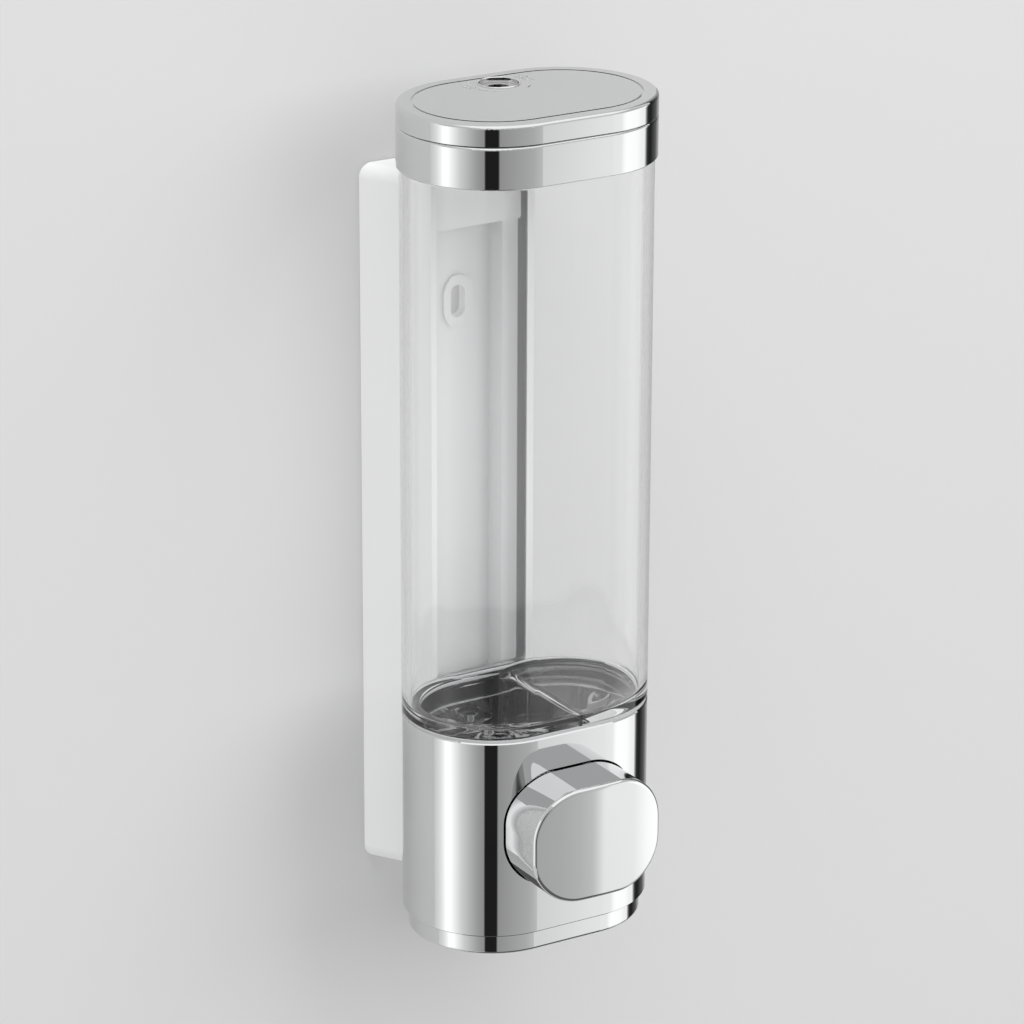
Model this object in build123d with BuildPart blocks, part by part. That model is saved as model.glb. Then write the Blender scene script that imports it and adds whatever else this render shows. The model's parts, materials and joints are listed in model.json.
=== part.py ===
"""Wall mounted soap dispenser: a clear tank over a push-button pump, hung on a screwed wall bracket.

Millimetres. +Z is up, -Y is the front, +Y points into the wall. The origin lies on the wall face,
midway between the bracket's two screw slots. Heights named below are counted from the dispenser's foot,
and depths from the centre line of its oval, positive towards the wall.
"""

from build123d import *
import os

os.makedirs("parts", exist_ok=True)

# Driving dimensions
body_w, body_d = 73.7, 51.4  # the oval shared by tank and housing
wall_gap = 44.0  # from the oval's centre line back to the wall
lid_top, lid_foot = 245.0, 239.2
collar_top, collar_foot = 239.0, 227.0
collar_grow = 0.87  # the collar and lid stand this far outside the oval
tank_foot, tank_floor = 66.6, 69.7
housing_top, housing_foot = 65.9, 6.3
ring_inset = 1.74
bracket_foot, bracket_top = 6.5, 219.0
bracket_w = 57.0
slot_spacing = 126.0
side_slope, end_slope = 0.546, 0.05  # how far the bracket's sides and ends lean in, per mm forwards

# Walls and gaps
housing_wall, bracket_wall = 1.8, 2.2
play = 0.3  # between pieces that move past each other
fit = 0.05  # between pieces that are assembled into each other
running = 0.06  # radial clearance of the piston seal and the rod

# Button
button_w, button_h, button_r = 41.5, 34.3, 14.6
button_z = 38.2
button_face, button_back = -39.9, -20.6  # the face's rim and the shell's open edge
crown_r = 110.0  # the face bows out about an upright axis

# Pump
pump_z = 32.0
port_y, nozzle_y = 14.0, -6.0
bore_r, cylinder_r, rod_r = 7.0, 9.0, 4.0
cylinder_front, cylinder_back = -3.0, 21.0

# Screws: shaft and head radii of the three sizes used
screw_x = 26.5  # the base screws and the housing's posts
long_shaft, long_head, long_hole = 1.2, 2.8, 1.65
small_shaft, small_head, small_hole = 0.95, 2.3, 1.3
tiny_shaft, tiny_head, tiny_hole = 0.85, 2.2, 0.9
head_t = 1.6
slot_cut, cross_l = 0.8, 4.0  # a driver slot's width, a cross's length

# Lock
lock_y, lock_r = 15.5, 6.2

# The bracket's middle height is the origin
origin_h = (bracket_foot + bracket_top) / 2


def level(h, x=0.0, y=0.0):
    """Horizontal plane at height h, its origin at x, y."""
    return Plane((x, y - wall_gap, h - origin_h))


def facing(y, x=0.0, h=0.0):
    """Upright plane that faces the user at depth y. Its own y is height above h."""
    return Plane(origin=(x, y - wall_gap, h - origin_h), x_dir=(1, 0, 0), z_dir=(0, -1, 0))


def side(x):
    """Upright plane that faces +X. Its own x runs towards the wall and its own y is height."""
    return Plane(origin=(x, -wall_gap, -origin_h), x_dir=(0, 1, 0), z_dir=(1, 0, 0))


def oval(inset=0.0, mode=Mode.ADD):
    """The body's oval, drawn smaller by inset."""
    return SlotOverall(body_w - 2 * inset, body_d - 2 * inset, mode=mode)


def band(outer, inner):
    """A ring between two ovals."""
    oval(outer)
    oval(inner, mode=Mode.SUBTRACT)


def save(name, piece):
    """Label a finished piece and write its STEP file."""
    piece.part.label = name
    export_step(piece.part, f"parts/{name}.step")


# Wall bracket: a tray that narrows towards the dispenser, screwed on through its back
bracket_h = bracket_top - bracket_foot
bracket_front = 22.0
tray_inset = 2.5
rib_in, rib_out, rib_front = 11.7, 16.9, 33.6
end_wall = bracket_top - 2.4
bar_foot, bar_front, bar_back = 200.3, 31.6, 34.2
notch_y, notch_w, notch_d = 36.1, 23.0, 3.8
slot_w, slot_l = 5.2, 9.7
pad_w, pad_l, pad_t = 11.0, 15.5, 1.3
hook_low, hook_web, hook_tip = 30.0, 33.0, 41.0
hook_front, hook_back = 20.4, 22.9
hook_root, hook_knee, hook_lead = 20.0, 26.6, (0.9, 1.6)
tray_corners, hollow_corners = (4.0, 3.0), (2.0, 1.2)  # at the wall and at the front


def bracket_section(y, inset, corner):
    """The tray's outline at depth y, drawn smaller by inset."""
    ahead = wall_gap - y
    wide = bracket_w - 2 * side_slope * ahead - 2 * inset
    tall = bracket_h - 2 * end_slope * ahead - 2 * inset
    return RectangleRounded(wide, tall, corner)


with BuildPart() as tray_hollow:
    with BuildSketch(facing(wall_gap - bracket_wall, h=origin_h)):
        bracket_section(wall_gap - bracket_wall, tray_inset, hollow_corners[0])
    with BuildSketch(facing(bracket_front - 1, h=origin_h)):
        bracket_section(bracket_front - 1, tray_inset, hollow_corners[1])
    loft()

with BuildPart() as wall_bracket:
    with BuildSketch(facing(wall_gap, h=origin_h)):
        bracket_section(wall_gap, 0, tray_corners[0])
    with BuildSketch(facing(bracket_front, h=origin_h)):
        bracket_section(bracket_front, 0, tray_corners[1])
    loft()
    add(tray_hollow.part, mode=Mode.SUBTRACT)
    # upright ribs that carry the hooks
    for x in (-1, 1):
        with BuildSketch(facing(wall_gap - 1, x=x * (rib_in + rib_out) / 2, h=origin_h)):
            Rectangle(rib_out - rib_in, bracket_h - 2 * bracket_wall - 2)
        extrude(amount=wall_gap - 1 - rib_front)
    # the bar that the hanger hook drops behind
    with BuildSketch(facing(bar_back, h=(bar_foot + end_wall) / 2)):
        Rectangle(2 * rib_out, end_wall - bar_foot)
    extrude(amount=bar_back - bar_front)
    # cradle for the round back of the tank and housing
    with BuildSketch(level(0)):
        oval(-1.3 * play)
    extrude(amount=lid_top, mode=Mode.SUBTRACT)
    # lower hooks, one on each rib
    for x in (rib_in, -rib_out):
        with BuildSketch(side(x)):
            with BuildLine():
                Polyline(
                    (rib_front + 1, hook_root), (rib_front + 1, hook_web), (hook_back, hook_web),
                    (hook_back, hook_tip), (hook_front + hook_lead[0], hook_tip),
                    (hook_front, hook_tip - hook_lead[1]), (hook_front, hook_low),
                    (hook_knee, hook_low), close=True,
                )
            make_face()
        extrude(amount=rib_out - rib_in)
    # notch in the top wall for the hanger hook
    with BuildSketch(level(bracket_top - 4, y=notch_y)):
        Rectangle(notch_w, notch_d)
    extrude(amount=8, mode=Mode.SUBTRACT)
    # raised pads with the upright screw slots
    for h in (origin_h - slot_spacing / 2, origin_h + slot_spacing / 2):
        with BuildSketch(facing(wall_gap - 1, h=h)):
            SlotOverall(pad_l, pad_w, rotation=90)
        extrude(amount=bracket_wall + pad_t - 1)
        with BuildSketch(facing(wall_gap + 1, h=h)):
            SlotOverall(slot_l, slot_w, rotation=90)
        extrude(amount=bracket_wall + pad_t + 2, mode=Mode.SUBTRACT)
save("wall_bracket", wall_bracket)

# Housing: a plated sleeve, open at both ends, with a hole for the button and slots for the hooks
button_gap = 0.4
hook_slot_low, hook_slot_high = 17.5, hook_web + 0.1
hook_slot_w = rib_out - rib_in + 1.0
post_r, pilot_r, post_foot, post_top = 3.5, 1.25, 12.1, 30.0
web_x, web_w, web_t, web_drop = 31.9, 8.0, 1.6, 3.0
rim_chamfer = 0.35

with BuildPart() as housing:
    with BuildSketch(level(housing_foot)):
        oval()
    extrude(amount=housing_top - housing_foot)
    chamfer(housing.edges().group_by(Axis.Z)[0] + housing.edges().group_by(Axis.Z)[-1], rim_chamfer)
    with BuildSketch(level(housing_foot - 1)):
        oval(housing_wall)
    extrude(amount=housing_top - housing_foot + 2, mode=Mode.SUBTRACT)
    # screw posts, each tied to the wall by a web
    for x in (-1, 1):
        with BuildSketch(level(post_foot, x=x * screw_x)):
            Circle(post_r)
        extrude(amount=post_top - post_foot)
        with BuildSketch(level(post_foot, x=x * web_x)):
            Rectangle(web_w, web_t)
        extrude(amount=post_top - post_foot - web_drop)
        with BuildSketch(level(post_foot - 1, x=x * screw_x)):
            Circle(pilot_r)
        extrude(amount=post_top - post_foot - 1, mode=Mode.SUBTRACT)
    # button hole
    with BuildSketch(facing(-15, h=button_z)):
        RectangleRounded(button_w + 2 * button_gap, button_h + 2 * button_gap, button_r + button_gap)
    extrude(amount=15, mode=Mode.SUBTRACT)
    # hook slots
    for x in (-1, 1):
        with BuildSketch(facing(28, x=x * (rib_in + rib_out) / 2, h=(hook_slot_low + hook_slot_high) / 2)):
            Rectangle(hook_slot_w, hook_slot_high - hook_slot_low)
        extrude(amount=11, mode=Mode.SUBTRACT)
save("housing", housing)

# Base ring: the plated foot under the housing, with a lip that fits inside it and a shoulder for the plate
ring_top, lip_top, shoulder_foot, shoulder_t = 6.15, 10.0, 4.3, 2.0
ring_foot_r, plate_inset, shoulder_inset, lip_bore = 0.9, 3.7, 5.0, 3.4

with BuildPart() as base_ring:
    with BuildSketch(level(0)):
        oval(ring_inset)
    extrude(amount=ring_top)
    fillet(base_ring.edges().group_by(Axis.Z)[0], ring_foot_r)
    with BuildSketch(level(ring_top)):
        oval(housing_wall + 3 * fit)
    extrude(amount=lip_top - ring_top)
    with BuildSketch(level(-1)):
        oval(plate_inset - 4 * fit)
    extrude(amount=shoulder_foot + 1, mode=Mode.SUBTRACT)
    with BuildSketch(level(shoulder_foot)):
        oval(shoulder_inset)
    extrude(amount=shoulder_t, mode=Mode.SUBTRACT)
    with BuildSketch(level(shoulder_foot + shoulder_t)):
        oval(lip_bore)
    extrude(amount=lip_top, mode=Mode.SUBTRACT)
save("base_ring", base_ring)

# Base plate: closes the housing from below, held by two long screws
plate_foot, plate_top = 2.2, 4.2
nozzle_r = 4.4
drain_ys, drain_l, drain_w = (8, 12, 16), 18.0, 1.6

with BuildPart() as base_plate:
    with BuildSketch(level(plate_foot)):
        oval(plate_inset)
    extrude(amount=plate_top - plate_foot)
    fillet(base_plate.edges().group_by(Axis.Z)[0], 0.5)
    with BuildSketch(level(plate_foot - 1, y=nozzle_y)):
        Circle(nozzle_r + 0.4)
    extrude(amount=4, mode=Mode.SUBTRACT)
    for x in (-screw_x, screw_x):
        with BuildSketch(level(plate_foot - 1, x=x)):
            Circle(long_hole)
        extrude(amount=4, mode=Mode.SUBTRACT)
        with BuildSketch(level(plate_foot - 1, x=x)):
            Circle(long_head + 4 * fit)
        extrude(amount=1.8, mode=Mode.SUBTRACT)
    # drain slots behind the nozzle
    for y in drain_ys:
        with BuildSketch(level(plate_foot - 1, y=y)):
            SlotOverall(drain_l, drain_w)
        extrude(amount=4, mode=Mode.SUBTRACT)
save("base_plate", base_plate)

# Pump frame: a deck across the housing with two cradles for the cylinder
deck_foot, deck_top = 10.1, 12.0
cradle_x, cradle_t = 12.0, 3.0
cradle_front, cradle_rear = 3.5, 17.6
ear_z, ear_x, ear_y = 28.0, 12.5, 9.0
ear_post_r = 3.0

with BuildPart() as pump_frame:
    with BuildSketch(level(deck_foot)):
        oval(housing_wall + 0.3)
    extrude(amount=deck_top - deck_foot)
    # sleeves that reach down to the base plate
    for x in (-screw_x, screw_x):
        with BuildSketch(level(plate_top, x=x)):
            Circle(post_r)
        extrude(amount=deck_foot - plate_top + 0.5)
        with BuildSketch(level(plate_top - 1, x=x)):
            Circle(long_hole)
        extrude(amount=12, mode=Mode.SUBTRACT)
    # cradles
    for y in (cradle_front, cradle_rear):
        with BuildSketch(facing(y + cradle_t / 2, h=deck_top)):
            with Locations((0, (pump_z - deck_top) / 2)):
                Rectangle(2 * cradle_x, pump_z - deck_top)
        extrude(amount=cradle_t)
    with BuildSketch(facing(cradle_rear + 4, h=pump_z)):
        Circle(cylinder_r + fit)
    extrude(amount=25, mode=Mode.SUBTRACT)
    # posts under the cylinder's ears
    for x in (-ear_x, ear_x):
        with BuildSketch(level(deck_top, x=x, y=ear_y)):
            Circle(ear_post_r)
        extrude(amount=ear_z - deck_top)
        with BuildSketch(level(deck_top + 4, x=x, y=ear_y)):
            Circle(small_shaft + fit)
        extrude(amount=ear_z, mode=Mode.SUBTRACT)
    # room for the duct and the nozzle
    with BuildSketch(level(deck_foot - 1, y=nozzle_y)):
        Circle(nozzle_r + 0.4)
    extrude(amount=5, mode=Mode.SUBTRACT)
    with BuildSketch(facing(22, h=deck_top)):
        with Locations((0, 6)):
            Rectangle(10.4, 12)
    extrude(amount=22, mode=Mode.SUBTRACT)
save("pump_frame", pump_frame)

# Pump body: a level cylinder with the inlet tower on top, the outlet below and two ears
tower_r, tower_bore, tower_top, tower_floor = 8.0, 6.0, 47.0, 43.2
port_r, outlet_foot, outlet_r, outlet_bore = 3.3, 16.2, 3.5, 2.0
ear_t, ear_l, ear_w = 2.6, 10.0, 6.4
neck_r = 6.4

with BuildPart() as pump_body:
    with BuildSketch(facing(cylinder_back, h=pump_z)):
        Circle(cylinder_r)
    extrude(amount=cylinder_back - cylinder_front)
    with BuildSketch(level(pump_z, y=port_y)):
        Circle(neck_r)
    extrude(amount=tower_top - pump_z - 1)
    with BuildSketch(level(tower_floor - 2, y=port_y)):
        Circle(tower_r)
    extrude(amount=tower_top - tower_floor + 2)
    with BuildSketch(level(outlet_foot, y=port_y)):
        Circle(outlet_r)
    extrude(amount=pump_z - outlet_foot)
    for x in (-ear_x, ear_x):
        with BuildSketch(level(ear_z, x=x * 0.86, y=ear_y)):
            Rectangle(ear_l, ear_w)
        extrude(amount=ear_t)
    with BuildSketch(facing(cylinder_back - 2, h=pump_z)):
        Circle(bore_r)
    extrude(amount=30, mode=Mode.SUBTRACT)
    with BuildSketch(level(tower_floor, y=port_y)):
        Circle(tower_bore)
    extrude(amount=10, mode=Mode.SUBTRACT)
    with BuildSketch(level(pump_z, y=port_y)):
        Circle(port_r)
    extrude(amount=20, mode=Mode.SUBTRACT)
    with BuildSketch(level(outlet_foot - 1, y=port_y)):
        Circle(outlet_bore)
    extrude(amount=12, mode=Mode.SUBTRACT)
    for x in (-ear_x, ear_x):
        with BuildSketch(level(ear_z - 1, x=x, y=ear_y)):
            Circle(small_hole)
        extrude(amount=6, mode=Mode.SUBTRACT)
save("pump_body", pump_body)

# Cylinder cap: closes the cylinder's mouth and guides the rod
cap_front, cap_r, cap_back, seat_y = -6.0, 10.6, 0.6, 1.6

with BuildPart() as cylinder_cap:
    with BuildSketch(facing(cap_back, h=pump_z)):
        Circle(cap_r)
    extrude(amount=cap_back - cap_front)
    with BuildSketch(facing(seat_y, h=pump_z)):
        Circle(cylinder_r + fit)
    extrude(amount=seat_y - cylinder_front + fit, mode=Mode.SUBTRACT)
    with BuildSketch(facing(2, h=pump_z)):
        Circle(rod_r + running)
    extrude(amount=12, mode=Mode.SUBTRACT)
    chamfer(cylinder_cap.edges().group_by(Axis.Y)[0], 0.4)
save("cylinder_cap", cylinder_cap)

# Valves: a flange with a tapering bill, cut by a slit


def duckbill(flange_h, y, flange_r, flange_t, bill_r, bill_l):
    """One silicone valve, its flange's underside at flange_h and its bill pointing down."""
    with BuildPart() as valve:
        with BuildSketch(level(flange_h, y=y)):
            Circle(flange_r)
        extrude(amount=flange_t)
        with BuildSketch(level(flange_h, y=y)):
            Circle(bill_r)
        with BuildSketch(level(flange_h - bill_l, y=y)):
            SlotOverall(2 * bill_r - 0.4, 1.2)
        loft()
        with BuildSketch(level(flange_h + flange_t, y=y)):
            Circle(bill_r - 0.9)
        with BuildSketch(level(flange_h - bill_l * 0.7, y=y)):
            SlotOverall(2 * bill_r - 2.4, 0.5)
        loft(mode=Mode.SUBTRACT)
        with BuildSketch(level(flange_h - bill_l - 1, y=y)):
            Rectangle(2 * bill_r - 2.6, 0.12)
        extrude(amount=bill_l * 0.3 + 2, mode=Mode.SUBTRACT)
    return valve


save("inlet_valve", duckbill(tower_floor, port_y, tower_bore - 2 * fit, 0.9, 2.9, 4.2))

duct_foot, duct_top, duct_w = 12.4, 18.0, 9.0
channel_z, channel_r = 15.0, 1.7
nozzle_foot, nozzle_bore, valve_seat, seat_r = 1.0, 2.7, 10.6, 3.35
save("outlet_valve", duckbill(valve_seat, nozzle_y, seat_r - fit, 0.8, 2.4, 5.0))

# Outlet duct: leads from under the cylinder forward to the nozzle
with BuildPart() as outlet_duct:
    with BuildSketch(level(duct_foot, y=(port_y + nozzle_y) / 2)):
        SlotOverall(port_y - nozzle_y + duct_w + 1, duct_w + 1, rotation=90)
    extrude(amount=duct_top - duct_foot)
    with BuildSketch(level(outlet_foot - 0.1, y=port_y)):
        Circle(outlet_r + fit)
    extrude(amount=6, mode=Mode.SUBTRACT)
    with BuildSketch(facing(port_y, h=channel_z)):
        Circle(channel_r)
    extrude(amount=port_y - nozzle_y, mode=Mode.SUBTRACT)
    with BuildSketch(level(channel_z, y=port_y)):
        Circle(channel_r)
    extrude(amount=3, mode=Mode.SUBTRACT)
    with BuildSketch(level(duct_foot - 1, y=nozzle_y)):
        Circle(channel_r)
    extrude(amount=channel_z - duct_foot + 1, mode=Mode.SUBTRACT)
save("outlet_duct", outlet_duct)

# Nozzle: drops through the deck and the base plate and holds the outlet valve
with BuildPart() as nozzle:
    with BuildSketch(level(nozzle_foot, y=nozzle_y)):
        Circle(nozzle_r)
    extrude(amount=duct_foot - nozzle_foot)
    chamfer(nozzle.edges().group_by(Axis.Z)[0], 0.6)
    with BuildSketch(level(0, y=nozzle_y)):
        Circle(nozzle_bore)
    extrude(amount=20, mode=Mode.SUBTRACT)
    with BuildSketch(level(valve_seat, y=nozzle_y)):
        Circle(seat_r)
    extrude(amount=5, mode=Mode.SUBTRACT)
save("nozzle", nozzle)

# Tank: clear, with a thick floor flange and a locating skirt. On one side of the floor a deep well
# slopes back to the spigot, and on the other a ramp falls to the well's edge
neck_foot, neck_top, neck_inset = 226.8, 236.1, 1.0
tank_wall = 2.5
skirt_foot, skirt_in = 60.0, 3.8
well_inset, well_wall, well_right, well_corner = 5.2, 1.6, 7.0, 4.0
well_front, well_rear = 62.5, 50.0  # height of the well's floor at its front and rear edges
floor_t = 2.0
ramp_foot, ramp_under = 67.0, 64.6
spigot_r, spigot_bore, spigot_foot = 5.0, 3.2, 44.2
well_half = body_d / 2 - well_inset
ramp_start = well_right - well_corner


def well(outer, drop):
    """The well as a solid: its outline drawn larger by outer, its sloping floor lowered by drop."""
    mid = (well_front + well_rear) / 2 - drop
    rise = (well_front - well_rear) / 2
    with BuildPart() as pit:
        with BuildSketch(level(spigot_foot)):
            oval(well_inset - outer)
            with Locations((well_right + outer + body_w / 2, 0)):
                Rectangle(body_w, body_d, mode=Mode.SUBTRACT)
        extrude(amount=tank_floor - spigot_foot)
        fillet(pit.edges().filter_by(Axis.Z).group_by(Axis.X)[-1], well_corner + outer)
        with BuildSketch(side(-body_w)):
            with BuildLine():
                Polyline(
                    (-2 * well_half, mid + 2 * rise), (2 * well_half, mid - 2 * rise),
                    (2 * well_half, 0), (-2 * well_half, 0), close=True,
                )
            make_face()
        extrude(amount=2 * body_w, mode=Mode.SUBTRACT)
    return pit.part


well_outside, well_inside = well(well_wall, floor_t), well(0, 0)

with BuildPart() as ramp_space:
    with BuildSketch(level(ramp_foot)):
        oval(well_inset)
        with Locations((ramp_start - body_w / 2, 0)):
            Rectangle(body_w, body_d, mode=Mode.SUBTRACT)
    extrude(amount=tank_floor - ramp_foot + 1)
    with BuildSketch(facing(body_d)):
        with BuildLine():
            Polyline(
                (ramp_start, ramp_foot), (body_w / 2 - well_inset, tank_floor),
                (body_w, tank_floor), (body_w, 0), (ramp_start, 0), close=True,
            )
        make_face()
    extrude(amount=2 * body_d, mode=Mode.SUBTRACT)

with BuildPart() as tank:
    with BuildSketch(level(tank_foot)):
        oval()
    extrude(amount=neck_foot - tank_foot)
    with BuildSketch(level(neck_foot)):
        oval(neck_inset)
    extrude(amount=neck_top - neck_foot)
    fillet(tank.edges().group_by(Axis.Z)[0], 1.0)
    with BuildSketch(level(skirt_foot)):
        band(housing_wall + 4 * fit, skirt_in)
    extrude(amount=tank_foot - skirt_foot + 1)
    with BuildSketch(level(ramp_under)):
        oval(well_inset - well_wall)
        with Locations((well_right - body_w / 2, 0)):
            Rectangle(body_w, body_d, mode=Mode.SUBTRACT)
    extrude(amount=tank_foot - ramp_under + 1)
    add(well_outside)
    with BuildSketch(level(spigot_foot, y=port_y)):
        Circle(spigot_r)
    extrude(amount=well_rear - spigot_foot)
    with BuildSketch(level(tank_floor)):
        oval(tank_wall)
    extrude(amount=neck_top, mode=Mode.SUBTRACT)
    add(well_inside, mode=Mode.SUBTRACT)
    add(ramp_space.part, mode=Mode.SUBTRACT)
    with BuildSketch(level(spigot_foot - 1, y=port_y)):
        Circle(spigot_bore)
    extrude(amount=10, mode=Mode.SUBTRACT)
save("tank", tank)

# Gaskets: between tank and housing rim, and between spigot and tower
rim_out, gasket_t = 0.45, 2.4

with BuildPart() as rim_gasket:
    with BuildSketch(level(housing_top)):
        band(rim_out, housing_wall + 3 * fit)
    extrude(amount=tank_foot - housing_top)
save("rim_gasket", rim_gasket)

with BuildPart() as tank_gasket:
    with BuildSketch(level(spigot_foot, y=port_y)):
        Circle(tower_bore - fit)
        Circle(spigot_r + fit, mode=Mode.SUBTRACT)
    extrude(amount=gasket_t)
    fillet(tank_gasket.edges(), 0.3)
save("tank_gasket", tank_gasket)

# Button guide: a sleeve behind the housing's hole, standing on the deck
guide_front, guide_back, guide_t = -20.3, -13.0, 1.8

with BuildPart() as button_guide:
    with BuildSketch(facing(guide_back, h=button_z)):
        RectangleRounded(
            button_w + 2 * (button_gap + guide_t), button_h + 2 * (button_gap + guide_t),
            button_r + button_gap + guide_t,
        )
    extrude(amount=guide_back - guide_front)
    with BuildSketch(level(deck_top, y=(guide_front + guide_back) / 2)):
        Rectangle(18, guide_back - guide_front)
    extrude(amount=10)
    with BuildSketch(facing(0, h=button_z)):
        RectangleRounded(button_w + 2 * button_gap, button_h + 2 * button_gap, button_r + button_gap)
    extrude(amount=30, mode=Mode.SUBTRACT)
save("button_guide", button_guide)

# Button cap: a plated shell with a bowed face and a rolled edge
cap_wall, cap_edge_r = 1.6, 1.2
crown_h = button_w**2 / 8 / crown_r
peg_x, peg_r = 12.0, 2.0
carrier_front, carrier_back = -26.4, -23.5
boss_r, boss_back, stem_r = 4.9, -17.0, 3.0
carrier_rim_t, carrier_rim_d = 1.75, 8.0
thread_pilot, rod_pilot, pilot_l = 1.6, 1.2, 12.0


def button_section(inset, mode=Mode.ADD):
    """The button's outline, drawn smaller by inset."""
    return RectangleRounded(button_w - 2 * inset, button_h - 2 * inset, button_r - inset, mode=mode)


with BuildPart() as button_cap:
    with BuildSketch(facing(button_back, h=button_z)):
        button_section(0)
    extrude(amount=button_back - button_face + crown_h)
    with BuildSketch(level(button_z - button_h, y=button_face - crown_h + crown_r)):
        Circle(crown_r)
    extrude(amount=2 * button_h, mode=Mode.INTERSECT)
    fillet(button_cap.faces().sort_by(Axis.Y)[0].edges(), cap_edge_r)
    with BuildSketch(facing(button_back + 1, h=button_z)):
        button_section(cap_wall)
    extrude(amount=button_back + 1 - button_face - cap_wall, mode=Mode.SUBTRACT)
    # two pegs inside the face that locate the carrier
    for x in (-peg_x, peg_x):
        with BuildSketch(facing(carrier_front - fit, x=x, h=button_z)):
            Circle(peg_r)
        extrude(amount=carrier_front - fit - button_face - 1)
save("button_cap", button_cap)

# Button carrier: a plate and rim inside the cap, with the boss that holds the rod
with BuildPart() as button_carrier:
    with BuildSketch(facing(carrier_back, h=button_z)):
        button_section(cap_wall + fit)
    extrude(amount=carrier_back - carrier_front)
    with BuildSketch(facing(carrier_front, h=button_z)):
        button_section(cap_wall + fit)
        button_section(cap_wall + fit + carrier_rim_t, mode=Mode.SUBTRACT)
    extrude(amount=carrier_rim_d)
    with BuildSketch(facing(boss_back, h=pump_z)):
        Circle(boss_r)
    extrude(amount=boss_back - carrier_back)
    with BuildSketch(facing(boss_back + 1, h=pump_z)):
        Circle(stem_r + fit)
    extrude(amount=boss_back + 1 - carrier_back, mode=Mode.SUBTRACT)
    with BuildSketch(facing(boss_back, h=pump_z)):
        Circle(thread_pilot)
    extrude(amount=20, mode=Mode.SUBTRACT)
save("button_carrier", button_carrier)

# Piston: stem, rod and head with a groove for its seal
head_r, head_front, head_back = 6.6, 0.4, 5.4
groove_r, groove_front, groove_back = 5.0, 1.8, 4.0

with BuildPart() as piston:
    with BuildSketch(facing(carrier_back + fit, h=pump_z)):
        Circle(stem_r)
    extrude(amount=-(boss_back - carrier_back))
    with BuildSketch(facing(boss_back + fit, h=pump_z)):
        Circle(rod_r)
    extrude(amount=-(head_front - boss_back))
    with BuildSketch(facing(head_front, h=pump_z)):
        Circle(head_r)
    extrude(amount=-(head_back - head_front))
    with BuildSketch(facing(groove_front, h=pump_z)):
        Circle(head_r + 1)
        Circle(groove_r, mode=Mode.SUBTRACT)
    extrude(amount=-(groove_back - groove_front), mode=Mode.SUBTRACT)
    with BuildSketch(facing(carrier_back - 1, h=pump_z)):
        Circle(rod_pilot)
    extrude(amount=-pilot_l, mode=Mode.SUBTRACT)
save("piston", piston)

with BuildPart() as piston_seal:
    with BuildSketch(facing(groove_front + fit, h=pump_z)):
        Circle(bore_r - running)
        Circle(groove_r + fit, mode=Mode.SUBTRACT)
    extrude(amount=-(groove_back - groove_front - 2 * fit))
    fillet(piston_seal.edges(), 0.4)
save("piston_seal", piston_seal)

with BuildPart() as carrier_screw:
    with BuildSketch(facing(carrier_front, h=pump_z)):
        Circle(long_head)
    extrude(amount=head_t)
    fillet(carrier_screw.edges().group_by(Axis.Y)[0], 0.5)
    with BuildSketch(facing(carrier_front - head_t - 0.4, h=pump_z)):
        Rectangle(cross_l, slot_cut)
        Rectangle(slot_cut, cross_l)
    extrude(amount=1.0, mode=Mode.SUBTRACT)
    with BuildSketch(facing(carrier_front - 0.4, h=pump_z)):
        Circle(rod_pilot - fit)
    extrude(amount=-pilot_l)
save("carrier_screw", carrier_screw)

# Return spring: from the carrier to the cylinder cap, around the rod
spring_r, wire_r, coils = 6.4, 0.55, 6
spring_front, spring_back = carrier_back + wire_r + 0.05, cap_front - wire_r - 0.05
spring_l = spring_back - spring_front

with BuildPart() as return_spring:
    with BuildLine() as coil:
        Helix(
            pitch=spring_l / coils, height=spring_l, radius=spring_r,
            center=(0, spring_front - wall_gap, pump_z - origin_h), direction=(0, 1, 0),
        )
    with BuildSketch(Plane(coil.line @ 0, z_dir=coil.line % 0)):
        Circle(wire_r)
    sweep(is_frenet=True)
save("return_spring", return_spring)

# Collar: the plated ring round the tank's neck, with a lip over the tank's rim
collar_bore, lip_foot, lip_inset = 0.8, 236.3, 6.5
collar_edge_r, collar_chamfer = 0.9, 0.3
hook_screw_x, hook_screw_h, hook_pilot, hook_hole = 7.0, 237.4, 0.8, 0.95

with BuildPart() as collar:
    with BuildSketch(level(collar_foot)):
        oval(-collar_grow)
    extrude(amount=collar_top - collar_foot)
    fillet(collar.edges().group_by(Axis.Z)[-1], collar_edge_r)
    chamfer(collar.edges().group_by(Axis.Z)[0], collar_chamfer)
    with BuildSketch(level(collar_foot - 1)):
        oval(collar_bore)
    extrude(amount=lip_foot - collar_foot + 1, mode=Mode.SUBTRACT)
    with BuildSketch(level(lip_foot - 1)):
        oval(lip_inset)
    extrude(amount=5, mode=Mode.SUBTRACT)
    for x in (-hook_screw_x, hook_screw_x):
        with BuildSketch(facing(30, x=x, h=hook_screw_h)):
            Circle(hook_pilot)
        extrude(amount=8, mode=Mode.SUBTRACT)
save("collar", collar)

# Hanger hook: screwed to the back of the collar, its tongue drops behind the bracket's bar
hook_w, tongue_w, tongue_foot, tongue_t = 21.6, 21.0, 208.0, 3.0
plate_low, plate_h, plate_t = 228.0, 10.6, 2.0
gusset_t, gusset_low, gusset_high = 1.6, 230.5, 235.5
hook_plate_front = body_d / 2 + collar_grow
tongue_front, tongue_back = 34.7, 37.3

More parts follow.
